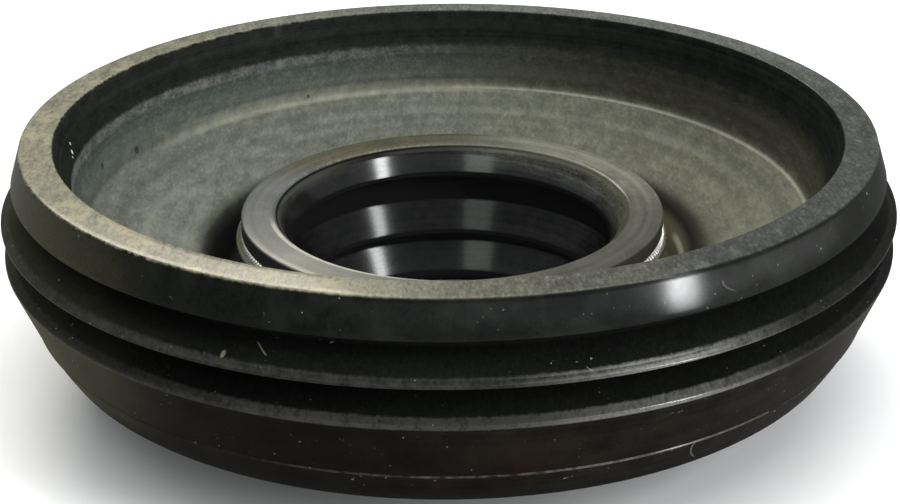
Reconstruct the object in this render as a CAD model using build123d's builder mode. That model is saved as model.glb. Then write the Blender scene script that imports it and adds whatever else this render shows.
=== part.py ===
from build123d import *
import os

os.makedirs("parts", exist_ok=True)

# Oil seal lying open side up. Z is the shaft axis, in millimetres from the foot of the hub.
# The outer wall is measured down from the rim, and the bowl up from the web under it.

# Sizes that must match the shaft and the housing
shaft_size = 25.0
housing_bore = 68.0

# Overall heights: the ring, and the hub that reaches below its back
ring_height = 14.9
hub_drop = 5.1

# Outer wall, from the rim down: a flared band and two barbed ribs
rim_inset = 1.8
rim_width = 2.4
rim_chamfer = 0.2
band_inset = 0.95
band_height = 2.6
groove_inset = 2.5
undercut = 0.4
barb_inset = 0.5
barb_height = 0.15
rib_land = 0.2
rib_slope_rise = 1.5
first_rib_depth = 5.05
rib_pitch = 2.7

# Skirt below the second rib, a cone that turns in twice on its way to the back
skirt_inset = 1.7
skirt_height = 2.5
heel_inset = 2.4
heel_height = 1.2
foot_inset = 3.1

# Back of the ring: a flat seat, and a shallow relief that leaves a thin web round the hub
back_width = 4.9
relief_depth = 1.1
relief_chamfer = 0.6
web_thickness = 1.7

# Bowl: a steep wall with a faint step, then a floor that falls to the valley at the hub
wall_step_inset = 1.1
wall_step_depth = 2.8
floor_edge_inset = 2.0
floor_edge_rise = 5.3
floor_chamfer = 0.5
valley_width = 2.1
valley_slope_width = 1.9
valley_slope_rise = 2.1

# Collar on top of the hub, its wall leaning in below the spring
collar_height = 4.75
collar_width = 2.55
collar_lean = 0.4
collar_root_inset = 1.1
mouth_flare = 1.45
mouth_chamfer = 0.5

# Three lips in the bore, with grease recesses between them
first_lip_drop = 2.05
second_lip_height = 5.2
third_lip_height = 1.3
lip_land = 0.3
lip_face_height = 2.4
lip_back_height = 0.8
recess_depth = 1.5
exit_chamfer = 0.8
hub_wall = 2.2
hub_chamfer = 0.5

# Garter spring, level with the first lip in an open seat under the edge of the collar
coil_radius = 0.9
coil_sides = 8
coil_clearance = 0.05
coil_inset = 0.45

# Heights that follow
top = hub_drop + ring_height
first_rib = top - first_rib_depth
second_rib = first_rib - rib_pitch
web_underside = hub_drop + relief_depth
valley_floor = web_underside + web_thickness
collar_top = valley_floor + collar_height
first_lip = collar_top - first_lip_drop
coil_height = first_lip

# Radii that follow, first from the housing inward and then from the shaft outward
rib_radius = housing_bore / 2
rim_radius = rib_radius - rim_inset
rim_inner_radius = rim_radius - rim_width
groove_radius = rib_radius - groove_inset
foot_radius = rib_radius - foot_inset
relief_radius = foot_radius - back_width
floor_edge_radius = rim_inner_radius - floor_edge_inset
lip_radius = shaft_size / 2
recess_radius = lip_radius + recess_depth
hub_radius = recess_radius + hub_wall
mouth_radius = lip_radius + mouth_flare
collar_radius = mouth_radius + collar_width
collar_root_radius = collar_radius - collar_root_inset
valley_radius = collar_root_radius + valley_width
coil_seat_radius = collar_radius - coil_inset
seat_radius = coil_radius + coil_clearance

with BuildPart() as body:
    # Plain ring from the lips out to the bottom of the grooves, with the skirt and its heel
    with BuildSketch(Plane.XZ):
        with BuildLine():
            Polyline(
                (lip_radius, hub_drop),
                (foot_radius, hub_drop),
                (rib_radius - heel_inset, hub_drop + heel_height),
                (rib_radius - skirt_inset, hub_drop + skirt_height),
                (rib_radius, second_rib - rib_land),
                (groove_radius, second_rib - rib_land),
                (groove_radius, top),
                (lip_radius, top),
                close=True,
            )
        make_face()
    revolve(axis=Axis.Z)

    # Band under the rim: a cone that flares downward and ends in a sharp undercut edge
    with BuildSketch(Plane.XZ):
        with BuildLine():
            Polyline(
                (rim_inner_radius, top),
                (rim_radius, top),
                (rib_radius - band_inset, top - band_height),
                (groove_radius, top - band_height + undercut),
                (rim_inner_radius, top - band_height + undercut),
                close=True,
            )
        make_face()
    revolve(axis=Axis.Z)

    # Two barbs: a slope, a narrow bevel that catches the light, and a land at the full size
    for rib, underside in ((first_rib, undercut), (second_rib, 0)):
        with BuildSketch(Plane.XZ):
            with BuildLine():
                Polyline(
                    (groove_radius, rib + rib_slope_rise),
                    (rib_radius - barb_inset, rib + barb_height),
                    (rib_radius, rib),
                    (rib_radius, rib - rib_land),
                    (groove_radius, rib - rib_land + underside),
                    close=True,
                )
            make_face()
        revolve(axis=Axis.Z)

    # Hub that reaches below the ring and carries the lowest lip
    with BuildSketch(Plane.XZ):
        with BuildLine():
            Polyline(
                (lip_radius, 0),
                (hub_radius - hub_chamfer, 0),
                (hub_radius, hub_chamfer),
                (hub_radius, web_underside),
                (lip_radius, web_underside),
                close=True,
            )
        make_face()
    revolve(axis=Axis.Z)

    # Bowl: a steep wall with a faint step, then a floor that falls to the valley at the hub
    with BuildSketch(Plane.XZ):
        with BuildLine():
            Polyline(
                (0, top),
                (rim_inner_radius, top),
                (rim_inner_radius - wall_step_inset, top - wall_step_depth),
                (floor_edge_radius, valley_floor + floor_edge_rise),
                (valley_radius + valley_slope_width, valley_floor + valley_slope_rise),
                (valley_radius, valley_floor),
                (collar_root_radius, valley_floor),
                (collar_radius - collar_lean, coil_height - coil_radius),
                (collar_radius, coil_height),
                (collar_radius, collar_top),
                (0, collar_top),
                close=True,
            )
        make_face()
        chamfer(vertices().filter_by_position(Axis.X, floor_edge_radius, floor_edge_radius), floor_chamfer)
    revolve(axis=Axis.Z, mode=Mode.SUBTRACT)

    # Seat of the garter spring, open to the valley
    with BuildSketch(Plane.XZ):
        with Locations((coil_seat_radius, coil_height)):
            RegularPolygon(seat_radius, coil_sides, major_radius=False, rotation=180 / coil_sides)
    revolve(axis=Axis.Z, mode=Mode.SUBTRACT)

    # Mouth of the bore, chamfered and then falling as a cone to the first lip
    with BuildSketch(Plane.XZ):
        with BuildLine():
            Polyline(
                (lip_radius, first_lip),
                (mouth_radius - mouth_chamfer, collar_top - mouth_chamfer),
                (mouth_radius, collar_top),
                (lip_radius, collar_top),
                close=True,
            )
        make_face()
    revolve(axis=Axis.Z, mode=Mode.SUBTRACT)

    # Grease recesses between the lips; each ends in the cone that leads to the next lip
    for upper_lip, lower_lip in ((first_lip, second_lip_height), (second_lip_height, third_lip_height)):
        with BuildSketch(Plane.XZ):
            with BuildLine():
                Polyline(
                    (lip_radius, upper_lip - lip_land),
                    (recess_radius, upper_lip - lip_land - lip_back_height),
                    (recess_radius, lower_lip + lip_face_height),
                    (lip_radius, lower_lip),
                    close=True,
                )
            make_face()
        revolve(axis=Axis.Z, mode=Mode.SUBTRACT)

    # Way out of the bore below the third lip
    with BuildSketch(Plane.XZ):
        with BuildLine():
            Polyline(
                (lip_radius, third_lip_height - lip_land),
                (lip_radius + exit_chamfer, 0),
                (lip_radius, 0),
                close=True,
            )
        make_face()
    revolve(axis=Axis.Z, mode=Mode.SUBTRACT)

    # Shallow relief in the back, so that the hub hangs on a thin web
    with BuildSketch(Plane.XZ):
        with BuildLine():
            Polyline(
                (hub_radius, hub_drop),
                (relief_radius, hub_drop),
                (relief_radius, web_underside),
                (hub_radius, web_underside),
                close=True,
            )
        make_face()
        chamfer(vertices().group_by(Axis.Y)[-1], relief_chamfer)
    revolve(axis=Axis.Z, mode=Mode.SUBTRACT)

    # Broken outer edge of the rim
    rings = body.edges().filter_by(GeomType.CIRCLE).group_by(Axis.Z)[-1]
    chamfer(rings.sort_by(SortBy.RADIUS)[-1], rim_chamfer)
body.part.label = "seal_body"

# Garter spring, a closed steel ring that squeezes the first lip onto the shaft
with BuildPart() as spring:
    with BuildSketch(Plane.XZ):
        with Locations((coil_seat_radius, coil_height)):
            RegularPolygon(coil_radius, coil_sides, major_radius=False, rotation=180 / coil_sides)
    revolve(axis=Axis.Z)
spring.part.label = "garter_spring"

export_step(body.part, "parts/seal_body.step")
export_step(spring.part, "parts/garter_spring.step")
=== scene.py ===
# %% [markdown]
# # A rubber oil seal with its garter spring
#
# The part comes from CAD as two plain solids: the moulded rubber body and the spring ring.
# This lesson turns the body again with fine edges, winds a real coil for the spring, and
# gives the rubber its dusty, scuffed and glossy places.

# %% Load the frame
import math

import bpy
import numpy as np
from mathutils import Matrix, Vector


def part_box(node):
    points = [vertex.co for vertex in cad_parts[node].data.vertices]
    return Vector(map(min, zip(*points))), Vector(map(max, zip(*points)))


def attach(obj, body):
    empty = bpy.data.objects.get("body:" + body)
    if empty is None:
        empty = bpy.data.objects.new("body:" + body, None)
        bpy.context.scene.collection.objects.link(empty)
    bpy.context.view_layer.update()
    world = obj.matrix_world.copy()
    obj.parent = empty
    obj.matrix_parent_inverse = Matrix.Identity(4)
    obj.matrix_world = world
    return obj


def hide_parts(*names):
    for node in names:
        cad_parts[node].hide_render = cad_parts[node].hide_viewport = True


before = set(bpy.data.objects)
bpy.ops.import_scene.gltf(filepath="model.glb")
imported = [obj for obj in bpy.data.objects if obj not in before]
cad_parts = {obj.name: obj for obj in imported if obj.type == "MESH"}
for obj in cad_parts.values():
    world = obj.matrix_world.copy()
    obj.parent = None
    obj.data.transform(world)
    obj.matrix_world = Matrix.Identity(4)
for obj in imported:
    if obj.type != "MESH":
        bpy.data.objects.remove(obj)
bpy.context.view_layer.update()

# %% [markdown]
# ## Units and the driving sizes
#
# Blender works in metres here, but a seal is drawn in millimetres. One constant turns one
# into the other. The sizes below are those of the CAD, so that the lathe outline lies on
# the solids. The height and the largest radius are read from the frame, not written twice.

MM = 0.001
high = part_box("seal_body")[1]
TOP = high[2] / MM
RIB = high[0] / MM
print("body", round(2 * RIB, 2), "mm across,", round(TOP, 2), "mm high")

# Outer wall, from the rim inward and down
RIM_OUT = RIB - 1.8
RIM_IN = RIM_OUT - 2.4
GROOVE = RIB - 2.5
BAND_EDGE = TOP - 2.6
FIRST_RIB = TOP - 5.05
SECOND_RIB = TOP - 7.75
UNDERCUT = 0.4
BEAD = TOP - 12.35
HEEL = TOP - 13.7

# Bowl, back and hub
STEP_RADIUS = 28.7
STEP_HEIGHT = TOP - 2.8
RIDGE_RADIUS = 27.8
RIDGE_HEIGHT = TOP - 6.8
VALLEY_FLOOR = TOP - 12.1
BACK = 5.1
WEB = BACK + 1.1
RELIEF = 26.0
HUB = 16.2

# Collar, spring and lips
COLLAR_TOP = TOP - 7.35
COLLAR = 16.5
MOUTH = 13.95
SEAT = 16.05
COIL = 0.9
LIP = 12.5
RECESS = LIP + 1.5
LIPS = (TOP - 9.4, TOP - 14.8, TOP - 18.7)
LIP_LAND = 0.3
SEAT_HEIGHT = LIPS[0]

# %% [markdown]
# ## The outline of the body
#
# A moulded ring is a section turned about its axis. The section could be drawn as a curve
# with bevels, but a list of corners, each with its own rounding radius, says exactly what
# the mould maker's drawing says. One helper replaces every corner by an arc, and a second
# one adds points on the long flats, because long thin quads shade badly.


# %% Rounded corners and even steps
def rounded(corners, steps=5):
    """Replaces each (radius, height, rounding) corner of a closed outline by an arc."""
    outline = []
    count = len(corners)
    for i, (r, z, rounding) in enumerate(corners):
        here = np.array([r, z])
        before = np.array(corners[i - 1][:2]) - here
        after = np.array(corners[(i + 1) % count][:2]) - here
        if rounding == 0:
            outline.append(here)
            continue
        reach_limit = 0.49 * min(np.linalg.norm(before), np.linalg.norm(after))
        before = before / np.linalg.norm(before)
        after = after / np.linalg.norm(after)
        half = math.acos(np.clip(before @ after, -1, 1)) / 2
        reach = min(rounding / math.tan(half), reach_limit)
        radius = reach * math.tan(half)
        middle = here + (before + after) / np.linalg.norm(before + after) * radius / math.sin(half)
        start = here + before * reach - middle
        end = here + after * reach - middle
        sweep = math.atan2(start[0] * end[1] - start[1] * end[0], start @ end)
        for k in range(steps + 1):
            turn = sweep * k / steps
            c, s = math.cos(turn), math.sin(turn)
            outline.append(middle + np.array([c * start[0] - s * start[1], s * start[0] + c * start[1]]))
    return outline


def stepped(outline, longest):
    """Adds points so that no stretch of the closed outline is longer than this."""
    points = []
    for i, here in enumerate(outline):
        ahead = outline[(i + 1) % len(outline)]
        pieces = max(1, math.ceil(np.linalg.norm(ahead - here) / longest))
        points += [here + (ahead - here) * k / pieces for k in range(pieces)]
    return np.array(points)


# %% [markdown]
# ## The spring's seat
#
# The garter spring lies in a round groove that is open to the outside. An arc is a formula,
# so its points come from a loop and need no rounding.


# %% The groove of the spring
def groove_corners():
    """The round seat of the spring, from the collar's edge down to its root."""
    seat = COIL + 0.05
    start = math.acos((COLLAR - SEAT) / seat)
    end = math.radians(280)
    turns = [start + (end - start) * k / 12 for k in range(13)]
    return [(SEAT + seat * math.cos(a), SEAT_HEIGHT + seat * math.sin(a), 0) for a in turns]


# %% [markdown]
# ## The section, stretch by stretch
#
# The corners run once round the section: down the outer wall, along the underside, up the
# bore, over the collar and back through the bowl. Two ribs and three lips repeat, so they
# are loops. The skirt carries a fine bead where the two halves of the mould met.

# %% The section of the rubber
outside = [
    (RIM_IN, TOP, 0.12),
    (RIM_OUT, TOP, 0.2),
    (RIB - 0.95, BAND_EDGE, 0.06),
    (GROOVE, BAND_EDGE + UNDERCUT, 0.25),
]
for rib, undercut in ((FIRST_RIB, UNDERCUT), (SECOND_RIB, 0)):
    outside += [
        (GROOVE, rib + 1.5, 0.3),
        (RIB - 0.5, rib + 0.15, 0.6),
        (RIB, rib - 0.02, 0.3),
        (RIB, rib - 0.2, 0.03),
    ]
    if undercut:
        outside.append((GROOVE, rib - 0.2 + undercut, 0.25))
outside += [
    (RIB - 1.68, BEAD + 0.07, 0.03),
    (RIB - 1.66, BEAD + 0.02, 0.03),
    (RIB - 1.67, BEAD - 0.03, 0.03),
    (RIB - 1.74, BEAD - 0.08, 0.03),
    (RIB - 2.4, HEEL, 0.4),
    (RIB - 3.1, BACK, 0.3),
]
underside = [
    (RELIEF, BACK, 0.2),
    (RELIEF, WEB, 0.6),
    (HUB, WEB, 0.6),
    (HUB, 0, 0.4),
]
bore = [(LIP + 0.8, 0, 0.1)]
for lip in reversed(LIPS):
    bore += [(LIP, lip - LIP_LAND, 0.04), (LIP, lip, 0.04)]
    if lip != LIPS[0]:
        above = LIPS[LIPS.index(lip) - 1] - LIP_LAND
        bore += [(RECESS, lip + 2.4, 0.25), (RECESS, above - 0.8, 0.2)]
collar = [
    (MOUTH - 0.5, COLLAR_TOP - 0.5, 0.15),
    (MOUTH, COLLAR_TOP, 0.4),
    (COLLAR, COLLAR_TOP, 0.15),
]
bowl = [
    (15.4, VALLEY_FLOOR, 0.4),
    (17.5, VALLEY_FLOOR, 0.6),
    (19.4, VALLEY_FLOOR + 2.1, 0.9),
    (RIDGE_RADIUS, RIDGE_HEIGHT, 0.5),
    (STEP_RADIUS, STEP_HEIGHT, 0.4),
]
section = stepped(rounded(outside + underside + bore + collar + groove_corners() + bowl), 0.45)
print("section of", len(section), "points")

# %% [markdown]
# ## Turning the section
#
# Blender's Spin and Screw tools turn a profile too, but a few lines of numpy give the mesh
# directly, with a whole number of quads round the ring and no seam to merge. The collar is
# soft and stands a little off its centre, so its points are pushed sideways at the end.


# %% The lathe
LEAN = 0.25
LEAN_START = 5.0
LEAN_FULL = 12.0
LEAN_RADIUS = 17.2
QUADS_ROUND = 228


def lean(points):
    """Pushes the collar to the right: not at all at the hub's foot, and fully at its top."""
    r = np.hypot(points[:, 0], points[:, 1])
    rise = (points[:, 2] / MM - LEAN_START) / (LEAN_FULL - LEAN_START)
    free = np.clip(rise, 0, 1) * (r < LEAN_RADIUS * MM)
    points[:, 0] += free * LEAN * MM
    return points


def turned(name, points, around):
    """A closed ring: the outline points, in millimetres, turned once about Z."""
    angles = np.arange(around) * 2 * math.pi / around
    r = np.array(points)[:, 0]
    z = np.array(points)[:, 1]
    x = np.outer(np.cos(angles), r)
    y = np.outer(np.sin(angles), r)
    vertices = np.stack([x, y, np.tile(z, (around, 1))], axis=-1).reshape(-1, 3) * MM
    many = len(r)
    faces = []
    for a in range(around):
        b = (a + 1) % around
        for p in range(many):
            q = (p + 1) % many
            faces.append((a * many + p, a * many + q, b * many + q, b * many + p))
    mesh = bpy.data.meshes.new(name)
    mesh.from_pydata(lean(vertices).tolist(), [], faces)
    mesh.update()
    piece = bpy.data.objects.new(name, mesh)
    bpy.context.scene.collection.objects.link(piece)
    return piece


rubber = turned("rubber_body", section, QUADS_ROUND)
rubber.data.shade_smooth()
rubber.data.set_sharp_from_angle(angle=math.radians(38))
print("body mesh of", len(rubber.data.polygons), "quads")

# %% [markdown]
# ## The garter spring
#
# A garter spring is a close-wound coil whose ends are hooked into a ring. A curve with a
# bevel would do, but the helix is a formula of one angle, so the tube is built from it.


# %% Wind the coil
WIRE = 0.21
TURNS = 232


def coil(name, turns, steps, sides):
    """A helix of round wire wound about the spring's centre circle."""
    total = turns * steps
    t = np.arange(total) * 2 * math.pi / total
    wind = t * turns
    reach = COIL - WIRE
    r = SEAT + reach * np.cos(wind)
    middle = np.stack([r * np.cos(t), r * np.sin(t), SEAT_HEIGHT + reach * np.sin(wind)], -1)
    along = np.roll(middle, -1, 0) - np.roll(middle, 1, 0)
    along /= np.linalg.norm(along, axis=1)[:, None]
    ring = np.stack([SEAT * np.cos(t), SEAT * np.sin(t), np.full_like(t, SEAT_HEIGHT)], -1)
    out = middle - ring
    out -= along * np.sum(out * along, 1)[:, None]
    out /= np.linalg.norm(out, axis=1)[:, None]
    side = np.cross(along, out)
    turn = np.arange(sides) * 2 * math.pi / sides
    round_wire = out[:, None] * np.cos(turn)[:, None] + side[:, None] * np.sin(turn)[:, None]
    tube = middle[:, None] + WIRE * round_wire
    faces = []
    for a in range(total):
        b = (a + 1) % total
        for p in range(sides):
            q = (p + 1) % sides
            faces.append((a * sides + p, b * sides + p, b * sides + q, a * sides + q))
    mesh = bpy.data.meshes.new(name)
    mesh.from_pydata(lean(tube.reshape(-1, 3) * MM).tolist(), [], faces)
    mesh.shade_smooth()
    piece = bpy.data.objects.new(name, mesh)
    bpy.context.scene.collection.objects.link(piece)
    return piece


spring = coil("garter_coil", TURNS, steps=18, sides=8)
print("coil mesh of", len(spring.data.polygons), "quads")

# %% [markdown]
# ## Shader maths in Python
#
# Procedural materials are sums. The class below wraps a socket, so that a mask can be
# written as an expression, and each operator adds the Math node that it stands for.


# %% The socket class
class Value:
    """A socket of a material's node tree that can be added, multiplied and compared."""

    def __init__(self, tree, socket):
        self.tree = tree
        self.socket = socket

    def node(self, kind, settings=None, output=0, **inputs):
        """Any node: its settings are set first, and then its sockets' values or links."""
        made = self.tree.nodes.new(kind)
        for key, value in (settings or {}).items():
            setattr(made, key, value)
        for key, value in inputs.items():
            index = int(key[1:]) if key[0] == "i" and key[1:].isdigit() else key.replace("_", " ")
            if isinstance(value, Value):
                self.tree.links.new(value.socket, made.inputs[index])
            else:
                made.inputs[index].default_value = value
        return Value(self.tree, made.outputs[output])

    def math(self, operation, *others):
        values = {"i%d" % i: other for i, other in enumerate((self,) + others)}
        return self.node("ShaderNodeMath", {"operation": operation}, **values)

    def __add__(self, other):
        return self.math("ADD", other)

    __radd__ = __add__

    def __mul__(self, other):
        return self.math("MULTIPLY", other)

    __rmul__ = __mul__

    def __sub__(self, other):
        return self.math("SUBTRACT", other)

    def __rsub__(self, other):
        return (self * -1.0).math("ADD", other)

    def __truediv__(self, other):
        return self.math("DIVIDE", other)

    def __pow__(self, other):
        return self.math("POWER", other)

    def clamped(self):
        return self.math("MAXIMUM", 0.0).math("MINIMUM", 1.0)

    def step(self, start, end):
        """0 below start, 1 above end, and a smooth rise between them."""
        ranges = {"interpolation_type": "SMOOTHSTEP"}
        return self.node("ShaderNodeMapRange", ranges, Value=self, From_Min=start, From_Max=end)

    def between(self, start, end, soft):
        return self.step(start - soft, start + soft) * (1.0 - self.step(end - soft, end + soft))

    def mix(self, first, second):
        """The first colour where this mask is 0 and the second where it is 1."""
        return self.node("ShaderNodeMix", {"data_type": "RGBA"}, 2, i0=self, i6=first, i7=second)


# %% [markdown]
# ## Where on the seal is this point
#
# The finish changes with the place: dull on the rim, dusty in the bowl, glossy in the bore.
# Most of it can be told from the distance from the axis and the height, and the rest from
# the angle round the axis. The material starts by working these out, in millimetres and
# radians, from the object's own coordinates.


# %% Start a material
def colour(text):
    """A colour written as six hex digits, as it looks on the screen, in linear light."""
    parts = [int(text[i:i + 2], 16) / 255 for i in (0, 2, 4)]
    return tuple(((c + 0.055) / 1.055) ** 2.4 if c > 0.04 else c / 12.92 for c in parts) + (1.0,)


STREAK_RADIUS = 14.0


class Place:
    """The coordinates that a ring's finish is drawn with."""

    def __init__(self, tree):
        start = Value(tree, None)
        place = start.node("ShaderNodeTexCoord", output=3)
        self.at = place.node("ShaderNodeVectorMath", {"operation": "SCALE"}, i0=place, Scale=1 / MM)
        self.x = self.part("X")
        self.y = self.part("Y")
        self.z = self.part("Z")
        self.r = (self.x * self.x + self.y * self.y) ** 0.5
        self.turn = self.y.math("ARCTAN2", self.x)
        multiply = {"operation": "MULTIPLY"}
        self.drawn_out = self.at.node("ShaderNodeVectorMath", multiply, i0=self.at, i1=(1.0, 0.4, 1.0))

    def part(self, axis):
        return self.at.node("ShaderNodeSeparateXYZ", output="XYZ".index(axis), Vector=self.at)

    def noise(self, size, detail=3.0, rough=0.55, where=None):
        """Cloudy noise whose grains measure about this many millimetres, from 0 to 1."""
        given = dict(Vector=where or self.at, Scale=1.0 / size, Detail=detail, Roughness=rough)
        return self.at.node("ShaderNodeTexNoise", **given)

    def streaks(self, across, along, detail=3.0):
        """Noise drawn out round the ring: thin across the streaks, long along them."""
        reach = STREAK_RADIUS / along
        wrap = self.at.node(
            "ShaderNodeCombineXYZ",
            X=(self.x / self.r) * reach,
            Y=(self.y / self.r) * reach,
            Z=(self.r * 0.83 + self.z * 1.31) / across,
        )
        return self.noise(1.0, detail, 0.55, wrap)


def material(name):
    made = bpy.data.materials.new(name)
    made.use_nodes = True
    tree = made.node_tree
    shader = tree.nodes["Principled BSDF"]
    return made, tree, shader


def feed(tree, shader, socket, value):
    tree.links.new(value.socket, shader.inputs[socket])


# %% [markdown]
# ## Where each finish lies
#
# Black nitrile rubber is nearly black where it is clean and grey where talc and dust cling
# to it. The bowl faces up and keeps its dust, the rim and the collar are scuffed flat cuts,
# and the bore is wiped with oil. Each place could be a material of its own on its own faces,
# but then every border would be a clean circle, so the places are masks with ragged edges.


# %% Masks of the bowl and the flats
def bowl_masks(at):
    ragged = (at.noise(0.5, 3.0, 0.7) - 0.5) * 0.3
    wavy = (at.noise(2.5, 4.0, 0.6) - 0.5) * 1.6
    r = at.r + ragged
    z = at.z + wavy * 0.25 + ragged
    left = 1.0 - at.x.step(-22.0, 2.0)
    inside = (1.0 - at.r.step(RIM_IN - 0.1, RIM_IN + 0.05)) * at.z.step(WEB + 0.4, WEB + 1.0)
    masks = {}
    torn = at.r + ragged * (0.3 + left * 1.2)
    masks["rim"] = at.z.step(TOP - 0.2, TOP - 0.06) * torn.between(RIM_IN, RIM_OUT, 0.08)
    edge = (at.z + wavy * (0.3 + left * 0.7) + left * 0.6).step(TOP - 6.9, TOP - 5.4)
    above_step = z.step(STEP_HEIGHT - 0.4, STEP_HEIGHT + 0.3)
    masks["high_wall"] = inside * above_step
    masks["low_wall"] = inside * edge * (1.0 - above_step)
    masks["valley"] = inside * (1.0 - (r - at.x * 0.03).step(18.6, 21.0))
    masks["floor"] = inside * (1.0 - edge) * (1.0 - masks["valley"])
    crisp = at.r.between(RIDGE_RADIUS - 0.2, RIDGE_RADIUS - 0.02, 0.1)
    masks["ridge"] = crisp * at.z.between(RIDGE_HEIGHT - 0.3, RIDGE_HEIGHT + 0.2, 0.12)
    soft = at.r.between(RIDGE_RADIUS - 0.7, RIDGE_RADIUS + 0.15, 0.3)
    masks["soft_ridge"] = soft * at.z.between(RIDGE_HEIGHT - 0.4, RIDGE_HEIGHT + 0.7, 0.3)
    step = z.between(STEP_HEIGHT - 0.9, STEP_HEIGHT - 0.2, 0.2)
    masks["wall_step"] = inside * step * (1.0 - at.x.step(-12.0, 4.0))
    on_top = at.z.between(COLLAR_TOP - 0.12, COLLAR_TOP + 0.1, 0.04)
    masks["collar"] = on_top * at.r.between(13.5, COLLAR + 0.4, 0.1)
    on_wall = at.z.between(11.3, COLLAR_TOP - 0.1, 0.08)
    masks["collar_wall"] = at.r.between(COLLAR - 0.4, COLLAR + 0.4, 0.1) * on_wall
    return masks


# %% [markdown]
# ## The bore and the outer wall
#
# These are told apart in the same way. The faces are the cones that lead to the three lips,
# the crests are the outermost half millimetre of the ribs, and the band lies under the rim.


# %% Masks of the bore and the outer wall
def wall_masks(at):
    ragged = (at.noise(0.5, 3.0, 0.7) - 0.5) * 0.3
    z = at.z + ragged * 0.4
    hub = (1.0 - at.r.step(14.4, 14.6)) * (1.0 - at.z.step(COLLAR_TOP - 0.35, COLLAR_TOP - 0.2))
    outside = at.r.step(RIM_OUT - 1.0, RIM_OUT - 0.8)
    masks = {}
    masks["hub"] = hub * at.z.step(0.5, 1.0)
    masks["face_1"] = hub * z.step(LIPS[0] - 0.1, LIPS[0] + 0.15)
    masks["face_2"] = hub * z.between(LIPS[1] + 0.05, LIPS[1] + 2.3, 0.1)
    masks["face_3"] = hub * z.between(LIPS[2] + 0.05, LIPS[2] + 2.3, 0.1)
    masks["face"] = masks["face_1"] + masks["face_2"] + masks["face_3"]
    masks["band"] = outside * at.z.between(BAND_EDGE - 0.05, TOP - 0.1, 0.1)
    crest = outside * (at.r + ragged).step(RIB - 0.75, RIB - 0.5)
    masks["crest_1"] = crest * at.z.between(FIRST_RIB - 0.3, FIRST_RIB + 0.35, 0.08)
    masks["crest_2"] = crest * at.z.between(SECOND_RIB - 0.3, SECOND_RIB + 0.35, 0.08)
    masks["skirt"] = outside * (1.0 - at.z.step(SECOND_RIB - 0.5, SECOND_RIB - 0.1))
    masks["bead"] = outside * at.z.between(BEAD - 0.11, BEAD + 0.11, 0.04)
    masks["outside"] = outside * (1.0 - at.z.step(TOP - 0.2, TOP - 0.06))
    return masks


# %% [markdown]
# ## Dirt
#
# Dust has a size: clouds of it, patches, blotches and single grains, and streaks round the
# ring that the mould's turning marks left. One dictionary holds a noise of each size, so that
# paint, roughness and bump share them and a dusty spot is also a dull and a rough one. Single
# marks, such as a hair that stuck to the wall, are lines at an angle and a height.


# %% Noises and single marks
def dirt_of(at):
    return {
        "cloud": at.noise(9.0, 4.0),
        "patch": at.noise(3.0, 4.0, 0.6),
        "blotch": at.noise(0.9, 4.0, 0.65, at.drawn_out),
        "grain": at.noise(0.24, 4.0, 0.75, at.drawn_out),
        "rings": at.streaks(0.5, 30.0, 4.0),
        "wide_rings": at.streaks(2.2, 40.0, 1.5),
    }


def speckled(paint, where, grain, strength, dark, light):
    """Breaks a colour up into darker and lighter grains."""
    pores = (1.0 - grain.step(0.3, 0.5)) * where * strength
    dust_and_glints = grain.step(0.52, 0.74) * where * strength
    return dust_and_glints.clamped().mix(pores.clamped().mix(paint, colour(dark)), colour(light))


def spot(at, turn, height, size):
    """A round mark on a wall, at an angle and a height."""
    across = (at.turn - turn) * at.r
    up = at.z - height
    return 1.0 - ((across * across + up * up) ** 0.5).step(size * 0.5, size)


def hair(at, turn, height, slant, bend, length):
    """A hair that stuck to a wall, as a thin curved line."""
    up = at.z - height
    across = (at.turn - turn) * at.r - up * slant - up * up * bend
    return (1.0 - across.math("ABSOLUTE").step(0.04, 0.09)) * up.between(-length / 2, length / 2, 0.03)


# %% [markdown]
# ## The outer wall
#
# The ribs and the band are the blackest places, and the far right of the wall has painted
# shade. Handling rubs the crests grey; painted highlight makes them palest in front on the
# right, they fade on the far right as painted shade, and the bead has a painted highlight in
# front. Packing dust clings to the left side, and the skirt has the brown cast of rubber that
# has bloomed a little. A few crumbs and hairs stick to it.


# %% Paint the outer wall
def paint_wall(at, on, dirt):
    """The ground colours: a black wall with painted shade far right, a brownish skirt and dust on the left.
    """
    tone = (dirt["cloud"] * 0.4 + dirt["grain"] * 0.6).step(0.3, 0.7)
    paint = tone.mix(colour("090a09"), colour("171916"))
    paint = (on["band"] * dirt["patch"].step(0.42, 0.7) * 0.5).mix(paint, colour("222622"))
    # The outer wall is darker on the far right: painted shade.
    paint = (on["outside"] * at.x.step(26.0, 33.0) * 0.6).mix(paint, colour("030403"))
    skirt_tone = (dirt["patch"] * 0.5 + dirt["rings"] * 0.2 + dirt["grain"] * 0.3).step(0.35, 0.65)
    paint = on["skirt"].mix(paint, skirt_tone.mix(colour("0b0907"), colour("1d1a15")))
    paint = (on["skirt"] * at.turn.between(-2.2, -1.6, 0.25) * 0.6).mix(paint, colour("050403"))
    bloom = on["skirt"] * dirt["cloud"].step(0.56, 0.72)
    paint = (bloom * 0.4).mix(paint, colour("241510"))
    left_side = 1.0 - (at.x + at.y * 0.4 + dirt["patch"] * 6.0).step(-33.0, -25.5)
    dusty = on["outside"] * left_side * (0.35 + on["band"] * 0.5 + on["skirt"] * 0.5)
    return (dusty * (0.3 + dirt["grain"] * 0.8)).clamped().mix(paint, colour("43422f"))


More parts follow.
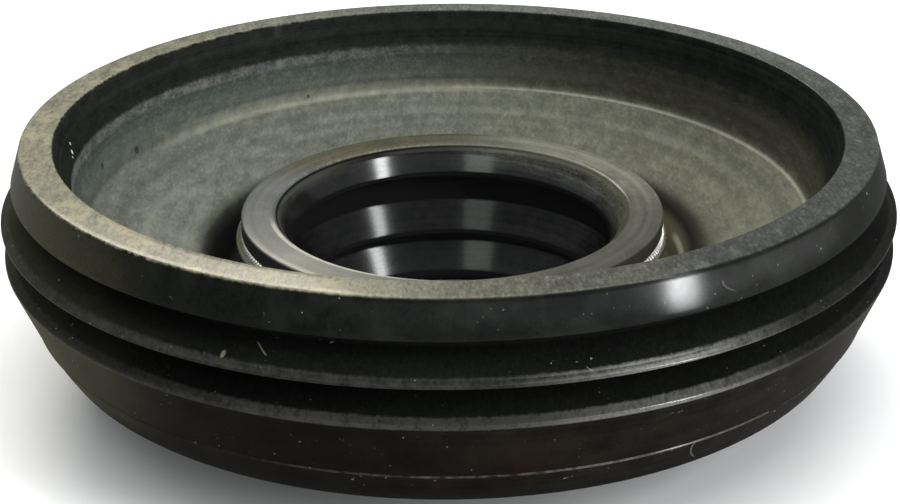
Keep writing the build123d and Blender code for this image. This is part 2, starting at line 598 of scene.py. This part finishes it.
def paint_crests(at, on, dirt, paint):
    """Grey wear and painted highlight on the crests, painted shade far right, a painted highlight on the
    bead.
    """
    # The crests are grey partly from wear and partly from painted highlight, stronger in front, and fade on
    # the far right as painted shade.
    wear_and_highlight = on["crest_1"] * 0.8 + on["crest_2"] * (0.85 + at.turn.between(-1.9, -1.0, 0.25) * 0.9)
    wear_and_highlight = wear_and_highlight * (1.0 - at.turn.between(-0.85, 0.4, 0.2) * 0.6)
    uneven = 0.15 + dirt["grain"].step(0.3, 0.7) * 0.55 + dirt["blotch"].step(0.35, 0.65) * 0.35
    paint = (wear_and_highlight * uneven).clamped().mix(paint, colour("383835"))
    # Paler still in front on the right: painted highlight.
    lit = (on["crest_1"] + on["crest_2"]) * at.turn.between(-1.3, -1.0, 0.2)
    paint = (lit * uneven).clamped().mix(paint, colour("686863"))
    # The bead is paler in front: painted highlight.
    front = at.turn.between(-1.8, -0.75, 0.4)
    patchy_bead_highlight = on["bead"] * front * dirt["blotch"].step(0.35, 0.65)
    return patchy_bead_highlight.clamped().mix(paint, colour("504f49"))


def paint_lint(at, on, dirt, paint):
    """Specks, a crumb and three hairs that stick to the wall."""
    specks = at.noise(0.3, 2.0, 0.5).step(0.71, 0.76) * dirt["patch"].step(0.46, 0.62)
    paint = (specks * on["outside"] * 0.8).mix(paint, colour("8f9188"))
    stuck = hair(at, -1.934, 15.78, -1.9, 0.5, 0.45) * (1.0 - at.r.step(33.2, 33.3))
    stuck = stuck + spot(at, -2.005, 15.3, 0.2) * (1.0 - at.r.step(33.5, 33.6))
    stuck = stuck + hair(at, -1.019, 18.5, -1.1, 1.6, 0.8) * 0.5
    stuck = stuck + hair(at, -1.058, 6.6, -0.5, 0.4, 1.9) * 0.7
    return (stuck * on["outside"] * 0.45).clamped().mix(paint, colour("8c897b"))


# %% [markdown]
# ## The bowl
#
# The floor catches the most dust. The steep wall is darker towards the rim, and its lower
# part is paler on the left and darker on the right. The floor is cooler on the left and
# warmer on the right, and it is painted paler on the front right as painted light.


# %% Paint the bowl's floor
def paint_floor(at, on, dirt, paint):
    tone = dirt["wide_rings"] * 0.45 + dirt["blotch"] * 0.25 + dirt["patch"] * 0.2 + dirt["grain"] * 0.1
    tone = tone.step(0.35, 0.7)
    cool = tone.mix(colour("50534b"), colour("707269"))
    warm = tone.mix(colour("57584b"), colour("767767"))
    warmth = (at.x + dirt["wide_rings"] * 8.0 + (dirt["patch"] - 0.5) * 26.0).step(-6.0, 20.0)
    paint = on["floor"].mix(paint, warmth.mix(cool, warm))
    # The floor is paler on the front right, where the rim's shadow falls: painted light.
    front_right_painted_light = on["floor"] * (1.0 - (at.y + dirt["patch"] * 5.0).step(-12.0, 8.0)) * at.x.step(14.0, 18.0)
    paint = (front_right_painted_light * 0.35).mix(paint, colour("85867a"))
    band = at.r.between(24.9, 26.3, 0.5) * on["floor"] * (0.2 + dirt["rings"] * 0.4)
    return band.clamped().mix(paint, colour("3f423e"))


# %% Paint the bowl's steep wall
def paint_steep_wall(at, on, dirt, paint):
    low_tone = dirt["wide_rings"] * 0.3 + dirt["grain"] * 0.2 + dirt["blotch"] * 0.3 + dirt["rings"] * 0.2
    low_tone = (low_tone.step(0.3, 0.7) * 0.7 + (TOP - 4.4 - at.z) * 0.22).clamped()
    low_left = low_tone.mix(colour("373d39"), colour("5f645d"))
    low_right = low_tone.mix(colour("2b2c25"), colour("504f44"))
    paint = on["low_wall"].mix(paint, at.x.step(-14.0, 16.0).mix(low_left, low_right))
    high_tone = (dirt["rings"] * 0.4 + dirt["blotch"] * 0.3 + dirt["grain"] * 0.3).step(0.35, 0.7)
    paint = on["high_wall"].mix(paint, high_tone.mix(colour("0f110f"), colour("252824")))
    chalk = on["wall_step"] * (dirt["blotch"] + dirt["grain"] - 0.75)
    return chalk.clamped().mix(paint, colour("7a787a"))


# %% [markdown]
# ## Marks in the bowl
#
# Single grains of dust, a painted highlight along the ridge on the right and a paler soft
# band on it on the left, the valley darkened as painted shadow with a painted reflection on
# its slope, and a few pits and crumbs. Each is mixed over the ground colours by its own mask.


# %% Paint the marks in the bowl
def paint_bowl_marks(at, on, dirt, paint):
    open_floor = on["floor"] + on["low_wall"] * (0.7 - at.x.step(-14.0, 10.0) * 0.45)
    paint = speckled(paint, open_floor, dirt["grain"], 0.24, "2b2d29", "96968a")
    paint = speckled(paint, open_floor, dirt["blotch"], 0.2, "383b37", "85867c")
    soft = on["soft_ridge"] * (dirt["rings"] + dirt["blotch"] - 0.45) * at.x.between(-22.0, 4.0, 5.0)
    paint = soft.clamped().mix(paint, colour("8f8d7d"))
    # A thin pale line along the ridge on the right: painted highlight.
    crisp = on["ridge"] * (0.1 + dirt["blotch"] * 0.5 + dirt["grain"] * 0.4) * at.x.step(-6.0, 16.0)
    paint = crisp.clamped().mix(paint, colour("b0ae9e"))
    return paint_valley(at, on, dirt, paint)


def paint_valley(at, on, dirt, paint):
    # The valley is darkened as painted shadow: near black on the left, dark brown on the right.
    right_valley_shadow = at.r.step(18.5, 19.2).mix(colour("4b4939"), colour("1f1e19"))
    valley = at.x.step(-6.0, 16.0).mix(colour("101110"), right_valley_shadow)
    paint = on["valley"].mix(paint, valley)
    brow = on["floor"] * at.r.between(19.7, 20.9, 0.5) * at.turn.between(-0.2, 1.5, 0.3) * dirt["grain"]
    paint = (brow * 0.7).clamped().mix(paint, colour("8b8b7c"))
    # A thin light streak on the valley's slope on the right: painted reflection.
    painted_reflection_streak = at.r.between(18.2, 18.5, 0.12) * at.turn.between(-0.2, 0.13, 0.05) * at.z.between(8.2, 9.4, 0.2)
    return (painted_reflection_streak * 0.8).mix(paint, colour("8f8d7d"))


def paint_pits(at, on, paint):
    pits = spot(at, 2.777, 13.8, 0.4) + spot(at, 2.995, 14.6, 0.3) + spot(at, 2.05, 13.4, 0.2)
    paint = (pits * 0.75).clamped().mix(paint, colour("20221f"))
    crumbs = spot(at, -3.125, 18.25, 0.16) + spot(at, -3.107, 17.76, 0.22) + spot(at, -3.09, 17.5, 0.12)
    return (crumbs * on["high_wall"]).clamped().mix(paint, colour("c9c7cf"))


# %% [markdown]
# ## The rim and the collar
#
# Both are flat cuts. The rim's knife marks are scuffed like leather, tan on the left and grey
# on the right. Its tan is partly dust and partly painted light, its pale grains are partly
# painted glints, and it has painted shade at the back on the left and a painted highlight in
# front. Oil has yellowed the back of the collar, which is painted paler at the back on the
# right as painted light.


# %% Paint the rim
def paint_rim(at, on, dirt, paint):
    rim_tone = (dirt["grain"] * 0.5 + dirt["blotch"] * 0.3 + dirt["patch"] * 0.2).step(0.3, 0.7)
    grey = rim_tone.mix(colour("292a28"), colour("474945"))
    pale = rim_tone.mix(colour("3d3e3a"), colour("63655f"))
    tan = rim_tone.mix(colour("585648"), colour("827f6a"))
    tan = (dirt["patch"].step(0.5, 0.64) * 0.7).mix(tan, colour("8d876b"))
    grey = at.y.step(0.0, 24.0).mix(grey, pale)
    # The rim is tan on the left: partly dust, partly painted light.
    tan_dust_and_light_side = 1.0 - (at.x * 0.8 + at.y * 0.25 + dirt["cloud"] * 10.0).step(-18.0, 12.0)
    paint = on["rim"].mix(paint, tan_dust_and_light_side.mix(grey, tan))
    dull_side = 1.0 - at.x.step(0.0, 24.0) * 0.5
    # Darker at the back on the left: painted shade.
    painted_shade_back_left = on["rim"] * at.turn.between(2.3, 2.65, 0.15) * 0.3
    paint = painted_shade_back_left.mix(paint, colour("403f39"))
    # Paler in front: painted highlight.
    painted_highlight_front = on["rim"] * at.turn.between(-1.88, -1.62, 0.14) * 0.2
    paint = painted_highlight_front.mix(paint, colour("b5b29b"))
    # The rim's pale grains are partly dust and partly painted glints.
    paint = speckled(paint, on["rim"] * dull_side, dirt["grain"], 0.36, "262724", "8f8d80")
    return speckled(paint, on["rim"], dirt["blotch"], 0.12, "343430", "8d8b7e")


# %% Paint the collar
def paint_collar(at, on, dirt, paint):
    tone = (dirt["grain"] * 0.25 + dirt["rings"] * 0.45 + dirt["patch"] * 0.3).step(0.36, 0.66)
    cool = tone.mix(colour("414343"), colour("5f615f"))
    warm = tone.mix(colour("3f3f38"), colour("605f55"))
    plain = (at.x + dirt["patch"] * 6.0).step(-4.0, 10.0).mix(cool, warm)
    # Paler at the back on the right: painted light.
    lit = tone.mix(colour("575850"), colour("77776b"))
    plain = (at.x * 0.7 + at.y * 0.7 + dirt["patch"] * 4.0).step(12.5, 16.5).mix(plain, lit)
    plain = ((at.x - at.y).step(14.0, 22.0) * 0.45).mix(plain, colour("2c2d29"))
    behind = (at.y * 0.9 - at.x * 0.45 + dirt["patch"] * 5.0).step(13.0, 17.0)
    oily = tone.mix(colour("35342a"), colour("56533f"))
    ground = (on["collar"] + on["collar_wall"] * 0.5).clamped()
    return ground.mix(paint, behind.mix(plain, oily))


def paint_collar_edge(at, on, dirt, paint):
    """Scuffs at the back, a worn place at the front left, and the thin flash of the mouth."""
    scuffs = on["collar"] * (1.0 - (at.r + dirt["blotch"]).step(14.3, 14.8)) * at.turn.between(1.6, 2.9, 0.2)
    paint = (scuffs * dirt["grain"].step(0.45, 0.8) * 0.6).mix(paint, colour("83847a"))
    worn = on["collar"] * at.turn.between(-2.6, -1.9, 0.3) * 0.3
    paint = (worn * (0.4 + dirt["blotch"])).clamped().mix(paint, colour("92907f"))
    flash = at.z.step(COLLAR_TOP - 0.25, COLLAR_TOP - 0.15) * at.r.between(13.75, 14.1, 0.08)
    flash = flash * at.turn.between(-2.9, -1.7, 0.15)
    return (flash * (0.2 + dirt["blotch"])).clamped().mix(paint, colour("b7b4a4"))


# %% [markdown]
# ## The bore
#
# The three cones carry a film of oil and shine, while the recesses between them stay black.


# %% Paint the bore
def paint_bore(at, on, dirt, paint):
    tone = (dirt["rings"] * 0.4 + dirt["blotch"] * 0.3 + dirt["grain"] * 0.3).step(0.35, 0.65)
    # The cones' grey is painted lighter on the right: painted light.
    tone = tone * (0.35 + at.x.step(-4.0, 12.0) * 0.65)
    paint = on["hub"].mix(paint, colour("181918"))
    paint = on["face"].mix(paint, tone.mix(colour("0a0b0a"), colour("2a2b28")))
    bare = at.x.between(-9.0, 2.0, 3.0)
    dusty = on["face_1"] * at.r.step(12.8, 13.4) * (1.1 - bare)
    return (dusty * (0.3 + tone * 0.8)).clamped().mix(paint, colour("4b4c45"))


# %% [markdown]
# ## One material for the moulding
#
# The rubber is one moulding, so it has one material. Its own gloss is set very low, because
# dusty rubber scatters light, and a clear coat over it stands for oil on the bore, the band
# and the crests. The coat's amount is a mask too, which keeps the recesses dead black.


# %% Gloss and relief
def dullness(on, dirt):
    """Roughness of the rubber itself, highest where dust lies."""
    rough = 0.5 + dirt["grain"] * 0.1 + dirt["cloud"] * 0.08 + on["floor"] * 0.25 + on["rim"] * 0.15
    return (rough + on["low_wall"] * 0.2).clamped()


def oil_film(at, on, dirt):
    """How much clear coat lies on each place."""
    front = at.turn.between(-1.7, -0.8, 0.25)
    lit = at.turn.between(-1.35, -1.0, 0.2)
    oiled = on["face_1"] * (1.0 - at.r.step(13.25, 13.4) * 0.8) * 0.95
    oiled = oiled + on["face_2"] * 0.5 + on["face_3"] * 0.68
    coat = oiled * (0.6 + dirt["grain"] * 0.35 + at.streaks(0.3, 2.0, 3.0) * 0.5)
    upper = at.z.step(TOP - 2.6, TOP - 1.0) * (1.0 - at.z.step(TOP - 0.45, TOP - 0.2))
    sheen = front * (0.05 + upper * (0.2 + dirt["patch"] * 1.1))
    coat = coat + on["band"] * (0.03 * (1.0 - at.x.step(23.0, 31.0)) + sheen)
    coat = coat + (on["crest_1"] * 0.95 + on["crest_2"] * 1.5 + on["bead"]) * (0.05 + lit)
    coat = coat + on["rim"] * 0.42 + on["collar"] * 0.35
    coat = coat + on["high_wall"] * dirt["patch"].step(0.45, 0.7) * 0.1
    return coat.clamped()


def relief(at, on, dirt):
    """Heights of the grain, the mould's turning marks and the waves in the cones."""
    rough_ground = on["floor"] + on["rim"] + on["low_wall"] * 0.7
    height = dirt["grain"] * (0.25 + rough_ground + on["collar"] * 0.4)
    height = height + dirt["blotch"] * rough_ground * 2.2 + dirt["rings"] * (0.3 + on["floor"] * 0.3)
    waves = at.streaks(0.3, 3.0, 3.0) * 3.5 + at.noise(1.2, 3.0, 0.6) * 14.0
    return height + waves * on["face"] + dirt["blotch"] * on["band"] * 0.6


# %% The rubber's material
def rubber_paint(at, on, dirt):
    paint = paint_wall(at, on, dirt)
    paint = paint_crests(at, on, dirt, paint)
    paint = paint_lint(at, on, dirt, paint)
    paint = paint_floor(at, on, dirt, paint)
    paint = paint_steep_wall(at, on, dirt, paint)
    paint = paint_bowl_marks(at, on, dirt, paint)
    paint = paint_pits(at, on, paint)
    paint = paint_bore(at, on, dirt, paint)
    paint = paint_rim(at, on, dirt, paint)
    paint = paint_collar(at, on, dirt, paint)
    return paint_collar_edge(at, on, dirt, paint)


def rubber_finish():
    made, tree, shader = material("moulded_rubber")
    at = Place(tree)
    on = bowl_masks(at)
    on.update(wall_masks(at))
    dirt = dirt_of(at)
    feed(tree, shader, "Base Color", rubber_paint(at, on, dirt))
    feed(tree, shader, "Roughness", dullness(on, dirt))
    feed(tree, shader, "Coat Weight", oil_film(at, on, dirt))
    shader.inputs["Coat Roughness"].default_value = 0.15
    shader.inputs["Specular IOR Level"].default_value = 0.02
    bumps = relief(at, on, dirt)
    bump = bumps.node("ShaderNodeBump", Height=bumps, Strength=0.4, Distance=0.08 * MM)
    feed(tree, shader, "Normal", bump)
    return made


rubber.data.materials.append(rubber_finish())
print("rubber painted with", len(rubber.data.materials[0].node_tree.nodes), "nodes")

# %% [markdown]
# ## The spring's steel
#
# Spring wire is drawn bright. Between the turns it is dark with grease, and here and there
# it has turned yellow, so the tint follows a slow noise and the roughness a fast one.


# %% Paint the spring
def spring_finish():
    made, tree, shader = material("spring_wire")
    at = Place(tree)
    tint = at.noise(6.0, 2.0).step(0.35, 0.7)
    feed(tree, shader, "Base Color", tint.mix(colour("dcdad2"), colour("c4bb9b")))
    feed(tree, shader, "Roughness", 0.2 + at.noise(0.5, 3.0) * 0.2)
    shader.inputs["Metallic"].default_value = 1.0
    return made


spring.data.materials.append(spring_finish())
print("spring painted")

# %% [markdown]
# ## Tie the pieces to the frame
#
# Nothing on a seal moves, so both pieces ride on the only body, and each stands for its CAD
# node.

# %% Ride and replace
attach(rubber, "root")
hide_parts("seal_body")
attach(spring, "root")
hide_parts("garter_spring")

# %% [markdown]
# ## Floor and world
#
# The photograph is cut out on white. More light would whiten the floor too, but it would also
# bleach the rubber. So the floor is a little paler to rays that come straight from the camera,
# off a glossy place or through glass, and it keeps the shadow under the ring. The world is a
# dim studio with a white backdrop that ends low, so that the bore mirrors the dark above it.


# %% Rays that show the background
def seen_rays(tree):
    """1 for camera, glossy and transmission rays, and 0 for the light that bounces about."""
    start = Value(tree, None)
    camera_ray = start.node("ShaderNodeLightPath", output=0)
    glossy_ray = start.node("ShaderNodeLightPath", output=3)
    transmission_ray = start.node("ShaderNodeLightPath", output=6)
    return (camera_ray + glossy_ray + transmission_ray).clamped()


# %% Floor and world
FLOOR_HALF = 1.5


def pale_floor():
    half = FLOOR_HALF
    mesh = bpy.data.meshes.new("floor")
    corners = [(-half, -half, 0), (half, -half, 0), (half, half, 0), (-half, half, 0)]
    mesh.from_pydata(corners, [], [(0, 1, 2, 3)])
    floor = bpy.data.objects.new("floor", mesh)
    bpy.context.scene.collection.objects.link(floor)
    made, tree, shader = material("pale_floor")
    feed(tree, shader, "Base Color", seen_rays(tree).mix((0.8, 0.8, 0.8, 1), (0.96, 0.96, 0.96, 1)))
    shader.inputs["Roughness"].default_value = 0.9
    shader.inputs["Specular IOR Level"].default_value = 0.1
    mesh.materials.append(made)
    return floor


pale_floor()
print("floor", 2 * FLOOR_HALF, "m wide")


# %% Studio world
DIM = (0.3, 0.31, 0.32, 1)
WHITE = (1, 1, 1, 1)


def studio_world():
    world = bpy.data.worlds.new("studio")
    bpy.context.scene.world = world
    world.use_nodes = True
    tree = world.node_tree
    direction = Value(tree, None).node("ShaderNodeTexCoord", output=0)
    up = direction.node("ShaderNodeSeparateXYZ", output=2, Vector=direction)
    backdrop = seen_rays(tree) * (1.0 - up.step(0.03, 0.07))
    background = tree.nodes["Background"]
    tree.links.new(backdrop.mix(DIM, WHITE).socket, background.inputs["Color"])
    background.inputs["Strength"].default_value = 1.0


studio_world()

# %% [markdown]
# ## Lamps
#
# Soft boxes stand where their reflections have to lie. A narrow tall one in front on the right
# draws the bright columns in the bore, a weak one on the left the fainter columns beside
# them, and a warm one behind grazes the rim. A wide one overhead lights everything evenly.


# %% Lamps
def soft_box(name, azimuth, elevation, distance, width, height, power, tint):
    """An area lamp that looks at the seal, in metres and watts. Azimuth 0 is behind it, 90 right."""
    a, e = math.radians(azimuth), math.radians(elevation)
    target = Vector((0, 0, 0.6 * TOP * MM))
    place = Vector((math.sin(a) * math.cos(e), math.cos(a) * math.cos(e), math.sin(e)))
    lamp = bpy.data.lights.new(name, "AREA")
    lamp.shape = "RECTANGLE"
    lamp.size = width
    lamp.size_y = height
    lamp.energy = power
    lamp.color = tint
    holder = bpy.data.objects.new(name, lamp)
    holder.location = target + place * distance
    holder.rotation_euler = (-place).to_track_quat("-Z", "Y").to_euler()
    bpy.context.scene.collection.objects.link(holder)


soft_box("window_right", 124, 23, 0.8, 0.1, 0.66, 5.6, (0.98, 0.99, 1.0))
soft_box("window_front", 203, 46, 0.9, 0.27, 0.32, 0.6, (0.88, 1.0, 0.9))
soft_box("warm_back", 342, 34, 0.9, 0.35, 0.28, 2.9, (1.0, 0.94, 0.8))
soft_box("overhead", 0, 88, 0.9, 1.0, 1.0, 9.0, (1.0, 1.0, 1.0))

# %% [markdown]
# ## Camera
#
# The rings of the seal are circles of known size, so their ellipses in the photograph give
# the camera: 4 rim radii away, 19.4 degrees above the rim, looking a little below it. The
# focal length came out in picture widths, and a sensor of 36 mm turns it into millimetres.

# %% Camera
SENSOR = 36.0
FRAME_WIDTH = 900
FOCAL_PIXELS = 1671
DISTANCE = 4.0 * RIM_OUT * MM
ELEVATION = math.radians(19.38)
PITCH = math.radians(24.01)
YAW = math.radians(-0.03)
ROLL = math.radians(-0.48)

lens = bpy.data.cameras.new("camera")
lens.sensor_width = SENSOR
lens.lens = SENSOR * FOCAL_PIXELS / FRAME_WIDTH
lens.clip_start = 0.001
lens.clip_end = 10.0
camera = bpy.data.objects.new("camera", lens)
eye = Vector((0, -DISTANCE * math.cos(ELEVATION), TOP * MM + DISTANCE * math.sin(ELEVATION)))
facing = Matrix.Rotation(YAW, 4, "Z") @ Matrix.Rotation(math.pi / 2 - PITCH, 4, "X")
camera.matrix_world = Matrix.Translation(eye) @ facing @ Matrix.Rotation(ROLL, 4, "Z")
bpy.context.scene.collection.objects.link(camera)
bpy.context.scene.camera = camera
bpy.context.scene.view_settings.view_transform = "Standard"
print("lens", round(lens.lens, 1), "mm")
